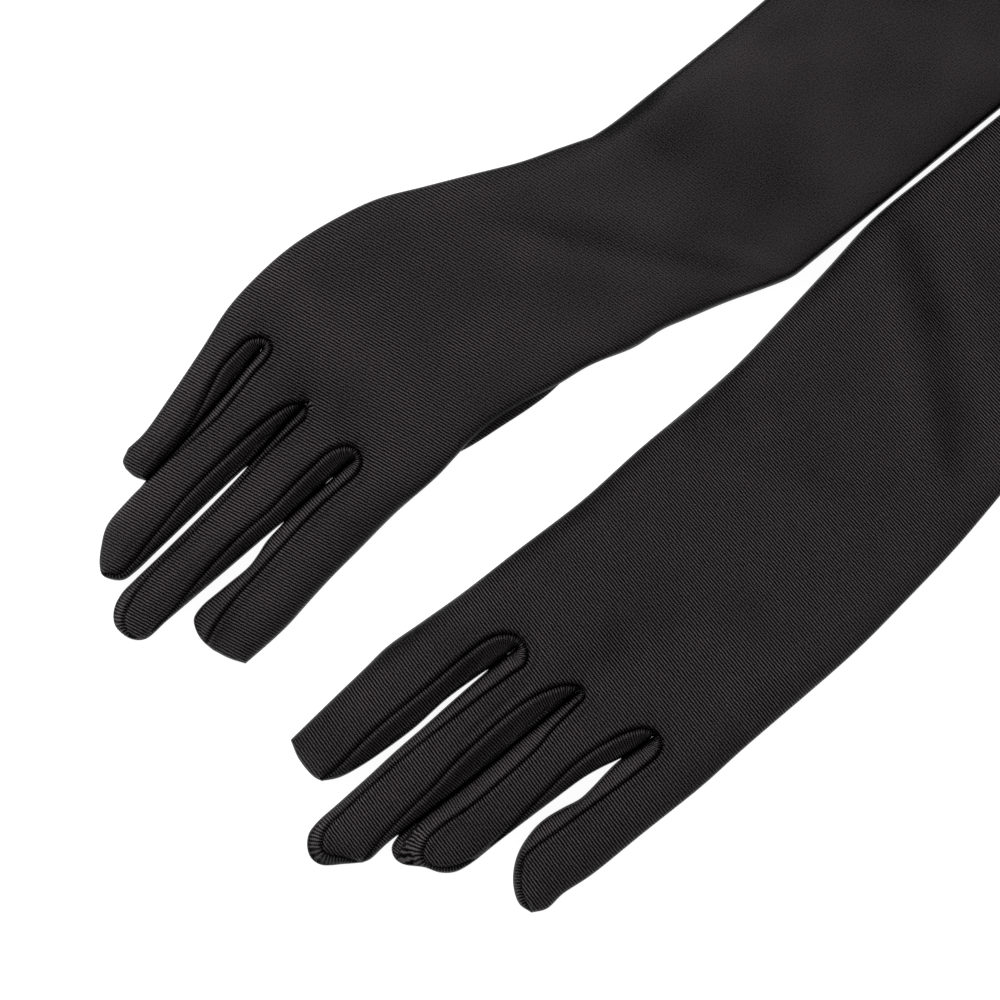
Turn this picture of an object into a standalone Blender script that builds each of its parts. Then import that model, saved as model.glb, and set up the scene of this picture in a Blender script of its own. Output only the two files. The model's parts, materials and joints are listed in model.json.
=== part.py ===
"""A pair of opera gloves lying side by side, backs of the hands up.

Every cloth piece of a glove is its own object: the trank (the cloth of the hand,
the fingers and the sleeve), the fourchettes between the fingers, the thumb, the
seam allowances and the hem. Lengths here are millimetres; the solids are metres.
+X runs from the fingertips to the arm openings, +Y from the left glove to the
right one, and +Z up. The origin is under the middle of the pair.
"""
import math

import bmesh
import bpy
from mathutils import Vector
from mathutils.geometry import delaunay_2d_cdt

MM = 0.001

# Heights of the flattened glove, from the surface it lies on
CLOTH = 0.8
GAP = 0.3
TOP = 10.0
BACK_UNDERSIDE = TOP - CLOTH
THUMB_TOP = 2.9
PALM_LOW = THUMB_TOP + GAP
SLIT_LOW = 4.9
SLIT_HIGH = SLIT_LOW + GAP

# Places along a glove
HEM_X = 276.0
SLEEVE_FOLD_X = 61.0
RISER_X = -85.0

# Heights of the hinge lines, just above the back of the glove
FINGER_HINGE_Z = 10.5
SLEEVE_HINGE_Z = 11.0

# Seams, thumb and hem
ALLOWANCE = 0.8
FORK_RADIUS = 2.5
LEG_GAP = 1.2
HEM_LENGTH = 12.0
HOLE_RADIUS = 8.0
HOLE_SEAM_WIDTH = 0.9
THUMB_LENGTH = 62.0
THUMB_HALF_WIDTH = 10.0
THUMB_HEEL = 12.0

SATIN = ("black_satin", (0.024, 0.023, 0.024), 0.55)
SATIN_FOURCHETTE = ("black_satin_fourchette", (0.020, 0.019, 0.020), 0.6)
OVERLOCK = ("black_overlock_thread", (0.015, 0.015, 0.016), 0.75)

# Each finger: x of its hinge line, then its two sides from the hinge line to the
# tip and the tip itself. "near" is the side towards the thumb.
RIGHT_FINGERS = {
    "index": {
        "hinge_x": -190.0,
        "near": [(-190.2, 21.5), (-216, 18.5), (-240, 15.2), (-253, 14.8)],
        "tip": [(-258, 23.5), (-258, 32)],
        "far": [(-253, 36), (-230, 37.5), (-205, 39.9), (-190.2, 40.4)],
    },
    "middle": {
        "hinge_x": -190.0,
        "near": [(-190.2, 42.4), (-205, 41.2), (-242, 39.9), (-270, 39.5)],
        "tip": [(-276, 43.5), (-276, 48.5)],
        "far": [(-270, 54), (-252, 55.8), (-222, 58.3), (-202, 61.1), (-190.2, 62.4)],
    },
    "ring": {
        "hinge_x": -190.0,
        "near": [(-190.2, 64.4), (-202, 62.4), (-222, 59.6), (-252, 57.4), (-263, 57)],
        "tip": [(-269, 60.5), (-269, 64.5)],
        "far": [(-262, 70.8), (-252, 73.8), (-225, 77.1), (-203, 80), (-190.2, 81.8)],
    },
    "little": {
        "hinge_x": -190.0,
        "near": [(-190.2, 85.2), (-203, 82.2), (-225, 78.4), (-241, 76)],
        "tip": [(-244, 79), (-244, 84)],
        "far": [(-239, 87), (-221, 90.6), (-204, 96), (-190.2, 100.3)],
    },
}
LEFT_FINGERS = {
    "index": {
        "hinge_x": -188.0,
        "near": [(-188.2, -9.8), (-217, -8.3), (-241, -10.1), (-257, -11.5)],
        "tip": [(-258.5, -17), (-258, -26)],
        "far": [(-251, -30), (-233, -31.8), (-205, -32), (-188.2, -31.8)],
    },
    "middle": {
        "hinge_x": -188.0,
        "near": [(-188.2, -33.4), (-205, -33.2), (-246, -34.7), (-268, -35.8)],
        "tip": [(-274.5, -41), (-274, -46.5)],
        "far": [(-264, -53.6), (-243, -53.7), (-223, -54.7), (-203, -54), (-188.2, -53)],
    },
    "ring": {
        "hinge_x": -182.0,
        "near": [(-182.2, -55.2), (-203, -55.4), (-223, -56), (-250, -55)],
        "tip": [(-255, -59), (-254, -63)],
        "far": [(-246, -72), (-238, -74.3), (-208, -75.2), (-182.2, -77.6)],
    },
    "little": {
        "hinge_x": -173.0,
        "near": [(-173.2, -80), (-200, -80), (-218, -78.6), (-228, -82.5)],
        "tip": [(-234, -89), (-234, -96)],
        "far": [(-229, -99), (-213, -99.6), (-193, -99.9), (-173.2, -100.1)],
    },
}

# The two edges of the hand, from the hinge lines to the wrist and forearm
RIGHT_HAND = {
    "near": [(-189.8, 21.4), (-170, 22.4), (-154, 24.8), (-138, 23.2), (-126, 20),
             (-113, 17.8), (-85, 11)],
    "near_forearm": [(-73, 7.5), (-53, 0.9), (60.8, 0.9)],
    "far": [(-189.8, 100.4), (-165, 103), (-151, 101.6), (-135, 97.8), (-108, 85.5), (-85, 75.6)],
    "far_forearm": [(-73, 70.9), (-54, 70.5), (0, 70.4), (60.8, 79.2)],
    "crotches": [(-189.8, 41.4), (-189.8, 63.4), (-189.8, 84.2)],
}
LEFT_HAND = {
    "near": [(-187.8, -9.9), (-168, -10.4), (-133, -10.7), (-103, -9.8), (-85, -9)],
    "near_forearm": [(-63, -6.5), (-25, -0.9), (60.8, -0.9)],
    "far": [(-172.8, -100.2), (-154, -99.3), (-109, -97.9), (-85, -95.2)],
    "far_forearm": [(-48, -89.8), (-20, -85.4), (20, -84.5), (60.8, -88.7)],
    "crotches": [(-187.8, -32.6), (-181.8, -54.2), (-172.8, -78.8)],
}

# The sleeve widens to the arm opening on its far side only
RIGHT_SLEEVE = {"near": [(61.2, 0.9), (HEM_X, 0.9)], "far": [(61.2, 79.2), (HEM_X, 110.5)]}
LEFT_SLEEVE = {"near": [(61.2, -0.9), (HEM_X, -0.9)], "far": [(61.2, -88.7), (HEM_X, -110.5)]}

# The thumb's hinge point, and how far it leans in under the palm (degrees)
RIGHT_THUMB = {"root": (-117.0, 28.0), "lean": 6.0}
LEFT_THUMB = {"root": (-117.0, -22.5), "lean": 6.0}


def clear_scene():
    for item in list(bpy.data.objects):
        bpy.data.objects.remove(item, do_unlink=True)


def material(finish):
    """The Principled material of a finish, made once."""
    name, colour, roughness = finish
    if name in bpy.data.materials:
        return bpy.data.materials[name]
    made = bpy.data.materials.new(name)
    made.use_nodes = True
    shader = made.node_tree.nodes["Principled BSDF"]
    shader.inputs["Base Color"].default_value = (*colour, 1.0)
    shader.inputs["Roughness"].default_value = roughness
    shader.inputs["Metallic"].default_value = 0.0
    return made


def signed_area(outline):
    pairs = zip(outline, outline[1:] + outline[:1])
    return 0.5 * sum(a[0] * b[1] - b[0] * a[1] for a, b in pairs)


def anticlockwise(outline):
    return outline if signed_area(outline) > 0 else outline[::-1]


def inset(path, distance, centre):
    """The path moved sideways by distance, towards the side that centre is on."""
    moved = []
    for i, point in enumerate(path):
        before = path[max(i - 1, 0)]
        after = path[min(i + 1, len(path) - 1)]
        normals = []
        for a, b in ((before, point), (point, after)):
            length = math.dist(a, b)
            if length > 0:
                normals.append(((a[1] - b[1]) / length, (b[0] - a[0]) / length))
        nx = sum(n[0] for n in normals)
        ny = sum(n[1] for n in normals)
        size = math.hypot(nx, ny)
        nx, ny = nx / size, ny / size
        mitre = distance / max(0.5, nx * normals[0][0] + ny * normals[0][1])
        moved.append((point[0] + nx * mitre, point[1] + ny * mitre))
    middle = len(path) // 2
    if math.dist(moved[middle], centre) > math.dist(path[middle], centre):
        return [(2 * p[0] - m[0], 2 * p[1] - m[1]) for p, m in zip(path, moved)]
    return moved


def at_x(point, x):
    """The point slid along X to x."""
    return (x, point[1])


def middle_of(outline):
    return (sum(p[0] for p in outline) / len(outline), sum(p[1] for p in outline) / len(outline))


def triangles(outline):
    """The outline filled with triangles of its own points, anticlockwise."""
    inside_only = 1
    points = [Vector(point) for point in outline]
    found = delaunay_2d_cdt(points, [], [list(range(len(points)))], inside_only, 1e-6)
    faces, sources = found[2], found[3]
    return [[sources[corner][0] for corner in face] for face in faces]


def build_cells(name, cells, finish, origin=(0.0, 0.0, 0.0)):
    """One closed solid from plan cells that share whole edges.

    cells is a list of (outline, spans); each span is the (low, high) height
    over which that outline is solid. The object's origin is at origin.
    """
    cells = [(anticlockwise(outline), spans) for outline, spans in cells]
    levels = sorted({z for _, spans in cells for span in spans for z in span})
    slabs = list(zip(levels, levels[1:]))

    def solid(spans, slab):
        return any(low <= slab[0] and slab[1] <= high for low, high in spans)

    def key(point):
        return (round(point[0], 4), round(point[1], 4))

    neighbour = {}
    for number, (outline, _) in enumerate(cells):
        for a, b in zip(outline, outline[1:] + outline[:1]):
            neighbour[(key(a), key(b))] = number

    mesh = bmesh.new()
    made = {}

    def vertex(point, z):
        place = (*key(point), z)
        if place not in made:
            made[place] = mesh.verts.new((
                point[0] * MM - origin[0], point[1] * MM - origin[1], z * MM - origin[2]))
        return made[place]

    for outline, spans in cells:
        filled = [solid(spans, slab) for slab in slabs]
        sheet = triangles(outline)
        for i, slab in enumerate(slabs):
            if not filled[i]:
                continue
            if i == 0 or not filled[i - 1]:
                for face in sheet:
                    mesh.faces.new([vertex(outline[k], slab[0]) for k in reversed(face)])
            if i == len(slabs) - 1 or not filled[i + 1]:
                for face in sheet:
                    mesh.faces.new([vertex(outline[k], slab[1]) for k in face])
            for a, b in zip(outline, outline[1:] + outline[:1]):
                other = neighbour.get((key(b), key(a)))
                if other is not None and solid(cells[other][1], slab):
                    continue
                mesh.faces.new([vertex(a, slab[0]), vertex(b, slab[0]),
                                vertex(b, slab[1]), vertex(a, slab[1])])
    data = bpy.data.meshes.new(name)
    mesh.to_mesh(data)
    mesh.free()
    data.materials.append(material(finish))
    piece = bpy.data.objects.new(name, data)
    piece.location = origin
    bpy.context.scene.collection.objects.link(piece)
    return piece


def strip(path, width, centre):
    """The plan outline of a wall that follows path, width thick, towards centre."""
    return path + inset(path, width, centre)[::-1]


def wall(name, path, centre, low, high, finish, width=CLOTH, origin=(0.0, 0.0, 0.0)):
    return build_cells(name, [(strip(path, width, centre), [(low, high)])], finish, origin)


def short_of(start, end, distance):
    """The point distance short of end on the way from start."""
    share = 1.0 - distance / math.dist(start, end)
    return (start[0] + (end[0] - start[0]) * share, start[1] + (end[1] - start[1]) * share)


def walled_cells(run, others, centre, back, palm, edge):
    """Plan cells of a finger's back, palm or both, with a wall along run.

    run and others together are the finger's outline. A run that ends at the tip
    leaves a small triangle there between the wall and the sheets.
    """
    inner = inset(run, CLOTH, centre)
    base = 0 if run[0][0] > run[-1][0] else -1
    inner[base] = at_x(inner[base], run[base][0])
    if base == 0:
        corner = [run[-1], others[0], inner[-1]]
    else:
        corner = [others[-1], run[0], inner[0]]
    sheets = [span for span in (palm, back) if span]
    return [
        (run + inner[::-1], [edge]),
        (corner, sheets),
        (inner + others, sheets),
    ]


def finger(side, name, plan):
    """The cloth pieces of one finger, all with their origin on its hinge line."""
    outline = plan["near"] + plan["tip"] + plan["far"]
    centre = middle_of(outline)
    origin = (plan["hinge_x"] * MM, centre[1] * MM, FINGER_HINGE_Z * MM)
    label = f"{side}_{name}"
    back = (BACK_UNDERSIDE, TOP)
    palm = (0.0, CLOTH)
    low, high = CLOTH + GAP, BACK_UNDERSIDE - GAP

    if name == "index":
        fold, others = plan["near"] + plan["tip"][:1], plan["tip"][1:] + plan["far"]
        folded = walled_cells(fold, others, centre, back, palm, (0.0, TOP))
        build_cells(f"{label}_trank", folded, SATIN, origin)
        leg = [short_of(plan["tip"][1], plan["tip"][0], LEG_GAP)] + others
        wall(f"{label}_fourchette", leg, centre, low, high, SATIN_FOURCHETTE, origin=origin)
        return

    if name == "little":
        seam, others = plan["tip"][-1:] + plan["far"], plan["near"] + plan["tip"][:-1]
        upper = walled_cells(seam, others, centre, back, None, (SLIT_HIGH, TOP))
        lower = walled_cells(seam, others, centre, None, palm, (0.0, SLIT_LOW))
        build_cells(f"{label}_back", upper, SATIN, origin)
        build_cells(f"{label}_palm", lower, SATIN, origin)
        inside = inset(seam, CLOTH + GAP, centre)[1:]
        inside[-1] = at_x(inside[-1], seam[-1][0] - 2 * GAP)
        wall(f"{label}_side_seam", inside, centre, low, high, OVERLOCK, ALLOWANCE, origin)
        leg = others + [short_of(plan["tip"][-2], plan["tip"][-1], LEG_GAP)]
        wall(f"{label}_fourchette", leg, centre, low, high, SATIN_FOURCHETTE, origin=origin)
        return

    build_cells(f"{label}_back", [(outline, [back])], SATIN, origin)
    build_cells(f"{label}_palm", [(outline, [palm])], SATIN, origin)
    near_leg = plan["near"] + plan["tip"][:-1] + [short_of(plan["tip"][-2], plan["tip"][-1], LEG_GAP)]
    wall(f"{label}_near_fourchette", near_leg, centre, low, high, SATIN_FOURCHETTE, origin=origin)
    far_leg = plan["tip"][-1:] + plan["far"]
    wall(f"{label}_far_fourchette", far_leg, centre, low, high, SATIN_FOURCHETTE, origin=origin)


def octagon(centre, radius):
    """Eight points round centre, from +X anticlockwise."""
    angles = [math.tau * i / 8 for i in range(8)]
    return [(centre[0] + radius * math.cos(a), centre[1] + radius * math.sin(a)) for a in angles]


def split_round_hole(front, near, far, end_x, hole, hole_y):
    """Two plan cells that fill a sheet around a hole, split on the line y = hole_y.

    front runs from near to far across the sheet's front edge, and near and far
    run back from it to end_x.
    """
    side = 1.0 if far[0][1] > near[0][1] else -1.0
    front_split = (front[0][0], hole_y)
    end_split = (end_x, hole_y)
    arc_far = hole[:5] if side > 0 else [hole[0]] + hole[:3:-1]
    arc_near = [hole[0]] + hole[:3:-1] if side > 0 else hole[:5]
    far_cell = [front_split] + [p for p in front[1:-1] if (p[1] - hole_y) * side > 0]
    far_cell += far + [end_split] + arc_far
    near_cell = near[::-1] + [front_split] + arc_near[::-1] + [end_split]
    return near_cell, far_cell


def hand(side, plan, thumb):
    """The trank of the hand and forearm, its side seam, forks and thumb-hole seam."""
    near, far = plan["near"], plan["far"]
    near_arm, far_arm = plan["near_forearm"], plan["far_forearm"]
    centre = middle_of(near + far)
    inner_near = inset(near + near_arm, CLOTH, centre)
    inner_far = inset(far + far_arm, CLOTH, centre)
    inner_near[0] = at_x(inner_near[0], near[0][0])
    inner_far[0] = at_x(inner_far[0], far[0][0])
    inner_near[-1] = at_x(inner_near[-1], near_arm[-1][0])
    inner_far[-1] = at_x(inner_far[-1], far_arm[-1][0])
    turn_near, turn_far = len(near) - 1, len(far) - 1
    inner_near[turn_near] = at_x(inner_near[turn_near], RISER_X)
    inner_far[turn_far] = at_x(inner_far[turn_far], RISER_X)

    back = (BACK_UNDERSIDE, TOP)
    raised = (PALM_LOW, PALM_LOW + CLOTH)
    resting = (0.0, CLOTH)
    front = front_edge(plan)
    hole = octagon(thumb["root"], HOLE_RADIUS)
    hole_y = thumb["root"][1]
    near_cell, far_cell = split_round_hole(
        front, inner_near[:turn_near + 1], inner_far[:turn_far + 1], RISER_X, hole, hole_y)
    riser_end = RISER_X + CLOTH
    riser_near = (riser_end, inner_near[turn_near][1])
    riser_far = (riser_end, inner_far[turn_far][1])
    riser = [inner_near[turn_near], (RISER_X, hole_y), inner_far[turn_far], riser_far, riser_near]
    forearm = [riser_near, riser_far] + inner_far[turn_far + 1:] + inner_near[:turn_near:-1]
    fold_hand = near + inner_near[turn_near::-1]
    fold_arm = near[-1:] + near_arm + inner_near[:turn_near:-1] + [riser_near, inner_near[turn_near]]
    far_strip = far + far_arm
    edge_far = far_strip + inner_far[:turn_far:-1] + [riser_far] + inner_far[turn_far::-1]
    build_cells(f"{side}_hand_trank", [
        (fold_hand, [(PALM_LOW, TOP)]),
        (fold_arm, [(0.0, TOP)]),
        (edge_far, [(0.0, SLIT_LOW), (SLIT_HIGH, TOP)]),
        (near_cell, [raised, back]),
        (far_cell, [raised, back]),
        (hole, [back]),
        (riser, [(0.0, raised[1]), back]),
        (forearm, [resting, back]),
    ], SATIN)

    seam = inset(far_strip, CLOTH + GAP, centre)
    seam[0] = at_x(seam[0], far[0][0] + 2 * GAP)
    seam[-1] = at_x(seam[-1], far_arm[-1][0])
    wall(f"{side}_hand_side_seam", seam, centre, raised[1] + GAP, BACK_UNDERSIDE - GAP,
         OVERLOCK, ALLOWANCE)

    for name, crotch in zip(("index_middle", "middle_ring", "ring_little"), plan["crotches"]):
        quarter_turns = [math.radians(a) for a in (-90, -45, 0, 45, 90)]
        bend = [(crotch[0] + GAP + FORK_RADIUS * math.cos(a), crotch[1] + FORK_RADIUS * math.sin(a))
                for a in quarter_turns]
        wall(f"{side}_fork_{name}", bend, crotch, raised[1] + GAP, BACK_UNDERSIDE - GAP,
             SATIN_FOURCHETTE)

    outer = octagon(thumb["root"], HOLE_RADIUS - GAP)
    inner = octagon(thumb["root"], HOLE_RADIUS - GAP - HOLE_SEAM_WIDTH)
    span = [(PALM_LOW, PALM_LOW + CLOTH)]
    ring = []
    for i in range(8):
        j = (i + 1) % 8
        ring.append(([outer[i], outer[j], inner[j], inner[i]], span))
    build_cells(f"{side}_thumb_hole_seam", ring, OVERLOCK)


def front_edge(plan):
    """The hand's front edge, stepping at the crotches where the hinge lines differ."""
    front = [plan["near"][0]]
    x = front[0][0]
    for crotch in plan["crotches"]:
        if crotch[0] != x:
            front.append((x, crotch[1]))
            front.append(crotch)
            x = crotch[0]
    front.append(plan["far"][0])
    return front


def thumb_piece(side, plan):
    """The thumb, a flat tube open at the top where it is sewn into the palm."""
    root = plan["root"]
    outward = -1.0 if side == "right" else 1.0
    lean = math.radians(plan["lean"])

    def place(along, across):
        """A point at along towards the tip and across to the outer side."""
        x = -along * math.cos(lean) - across * math.sin(lean)
        y = -along * math.sin(lean) * outward + across * math.cos(lean) * outward
        return (root[0] + x, root[1] + y)

    heel = THUMB_HEEL
    wide = THUMB_HALF_WIDTH
    half_outline = [(-heel, 0.0), (-heel + 2, wide * 0.7), (-heel / 2, wide), (30.0, wide),
                    (52.0, wide * 0.92), (59.0, wide * 0.6), (THUMB_LENGTH, 0.0)]
    middle = (20.0, 0.0)
    hole_radius = HOLE_RADIUS - GAP
    hole_angles = [math.pi * i / 4 for i in range(5)]
    cells = []
    for sign in (1.0, -1.0):
        edge = [(a, sign * b) for a, b in half_outline]
        inner = inset(edge, CLOTH, middle)
        inner[0] = (edge[0][0] + CLOTH, 0.0)
        inner[-1] = (edge[-1][0] - CLOTH, 0.0)
        arc = [(hole_radius * math.cos(a), sign * hole_radius * math.sin(a)) for a in hole_angles]
        sheets = [(0.0, CLOTH), (THUMB_TOP - CLOTH, THUMB_TOP)]
        cells.append((edge + inner[::-1], [(0.0, THUMB_TOP)]))
        cells.append((inner + arc, sheets))
    whole_hole = [(hole_radius * math.cos(math.tau * i / 8), hole_radius * math.sin(math.tau * i / 8))
                  for i in range(8)]
    cells.append((whole_hole, [(0.0, CLOTH)]))
    placed = [([place(*point) for point in outline], spans) for outline, spans in cells]
    origin = (root[0] * MM, root[1] * MM, 0.0)
    build_cells(f"{side}_thumb", placed, SATIN, origin)


def sleeve(side, plan):
    """The sleeve's trank, its side seam and the turned hem of the arm opening."""
    near, far = plan["near"], plan["far"]
    centre = middle_of(near + far)
    origin = (SLEEVE_FOLD_X * MM, centre[1] * MM, SLEEVE_HINGE_Z * MM)
    inner_near = [at_x(p, q[0]) for p, q in zip(inset(near, CLOTH, centre), near)]
    inner_far = [at_x(p, q[0]) for p, q in zip(inset(far, CLOTH, centre), far)]
    build_cells(f"{side}_sleeve_trank", [
        (near + inner_near[::-1], [(0.0, TOP)]),
        (far + inner_far[::-1], [(0.0, SLIT_LOW), (SLIT_HIGH, TOP)]),
        (inner_near + inner_far[::-1], [(0.0, CLOTH), (BACK_UNDERSIDE, TOP)]),
    ], SATIN, origin)

    low, high = CLOTH + GAP, BACK_UNDERSIDE - GAP
    hem_start = HEM_X - HEM_LENGTH
    seam = inset(far, CLOTH + GAP, centre)
    slope = (seam[1][1] - seam[0][1]) / (seam[1][0] - seam[0][0])
    seam_end = hem_start - GAP
    seam[0] = at_x(seam[0], far[0][0] + GAP)
    seam[1] = (seam_end, seam[0][1] + slope * (seam_end - seam[0][0]))
    wall(f"{side}_sleeve_side_seam", seam, centre, low, high, OVERLOCK, ALLOWANCE, origin)

    def hem_edge(path, depth):
        moved = inset(path, depth, centre)
        rise = (moved[1][1] - moved[0][1]) / (moved[1][0] - moved[0][0])
        return [(x, moved[0][1] + rise * (x - moved[0][0])) for x in (hem_start, HEM_X)]

    outer_near, outer_far = (hem_edge(path, CLOTH + GAP) for path in (near, far))
    mid_near, mid_far = (hem_edge(path, 2 * CLOTH + GAP) for path in (near, far))
    build_cells(f"{side}_hem", [
        (outer_near + mid_near[::-1], [(low, high)]),
        (outer_far + mid_far[::-1], [(low, high)]),
        (mid_near + mid_far[::-1], [(low, low + CLOTH), (high - CLOTH, high)]),
    ], SATIN, origin)


def glove(side, hand_plan, fingers, thumb, sleeve_plan):
    hand(side, hand_plan, thumb)
    for name, plan in fingers.items():
        finger(side, name, plan)
    thumb_piece(side, thumb)
    sleeve(side, sleeve_plan)


clear_scene()
glove("right", RIGHT_HAND, RIGHT_FINGERS, RIGHT_THUMB, RIGHT_SLEEVE)
glove("left", LEFT_HAND, LEFT_FINGERS, LEFT_THUMB, LEFT_SLEEVE)
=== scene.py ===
"""Looks of the pair of opera gloves: ribbed black satin cloth, its seams, hems and thread.

Each glove is one flattened tube of cloth. Its plan is drawn once, in millimetres in
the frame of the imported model, and filled with fine triangles. The back of the glove
and its palm are height fields over that plan, and the triangles are then handed out
to the cloth pieces that the real glove is sewn from.
"""
import json
import math

import bpy
import numpy as np
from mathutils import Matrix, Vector
from mathutils.geometry import delaunay_2d_cdt
from mathutils.kdtree import KDTree


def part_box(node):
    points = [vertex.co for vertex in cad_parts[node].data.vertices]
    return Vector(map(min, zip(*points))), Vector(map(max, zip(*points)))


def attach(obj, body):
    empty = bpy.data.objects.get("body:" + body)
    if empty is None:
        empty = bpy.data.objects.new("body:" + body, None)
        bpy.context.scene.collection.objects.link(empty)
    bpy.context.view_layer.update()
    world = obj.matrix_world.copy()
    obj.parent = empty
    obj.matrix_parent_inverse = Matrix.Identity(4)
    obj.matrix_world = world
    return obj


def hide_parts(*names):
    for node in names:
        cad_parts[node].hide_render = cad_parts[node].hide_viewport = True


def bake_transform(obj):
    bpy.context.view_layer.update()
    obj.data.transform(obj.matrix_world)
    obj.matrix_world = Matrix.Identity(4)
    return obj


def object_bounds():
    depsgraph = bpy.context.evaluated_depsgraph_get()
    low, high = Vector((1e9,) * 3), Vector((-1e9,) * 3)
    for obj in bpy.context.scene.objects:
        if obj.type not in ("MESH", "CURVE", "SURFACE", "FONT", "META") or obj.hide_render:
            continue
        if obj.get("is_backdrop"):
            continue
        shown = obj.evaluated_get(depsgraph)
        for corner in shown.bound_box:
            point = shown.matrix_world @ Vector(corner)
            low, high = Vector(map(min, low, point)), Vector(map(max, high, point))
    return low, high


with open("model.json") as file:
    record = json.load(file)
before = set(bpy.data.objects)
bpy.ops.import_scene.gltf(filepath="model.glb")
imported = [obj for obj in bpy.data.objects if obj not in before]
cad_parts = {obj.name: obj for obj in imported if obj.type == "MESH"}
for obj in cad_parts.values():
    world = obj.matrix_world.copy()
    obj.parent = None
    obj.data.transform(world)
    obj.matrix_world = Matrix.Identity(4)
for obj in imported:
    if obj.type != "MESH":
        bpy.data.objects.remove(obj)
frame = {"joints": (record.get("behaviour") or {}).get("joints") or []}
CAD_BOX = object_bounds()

MM = 0.001
FINGERS = ("index", "middle", "ring", "little")
SLEEVE_FOLD_X = 1000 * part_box("right_sleeve_trank")[0][0] - 0.2
HEM_X = 1000 * CAD_BOX[1][0]
HEM_DEPTH = 14.0
HEM_STITCH_PITCH = 3.1
# The gap seams and all that belongs to them lie on the finger side of this
GAPS_END_X = -150

# Rib and stitch sizes of the cloth. The ribs open up where the cloth is stretched,
# and lean where it was pulled askew, so both are given at places along the glove.
RIB_PITCH = 0.86
STITCH_PITCH = 0.62
RIB_PLACES = (-276, -200, -150, -100, -50, 276)
RIB_PITCHES = (0.93, 0.92, 0.87, 0.82, 0.79, 0.80)
RIB_LEANS = {"right": (0.43, 0.42, 0.37, 0.31, 0.26, 0.20), "left": (-0.05, -0.04, 0.0, 0.04, 0.07, 0.05)}
RIB_STRENGTHS = {"right": (1.35, 1.25, 0.9, 0.45, 0.06, 0.1), "left": (1.45, 1.4, 1.5, 1.6, 1.6, 1.1)}

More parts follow.
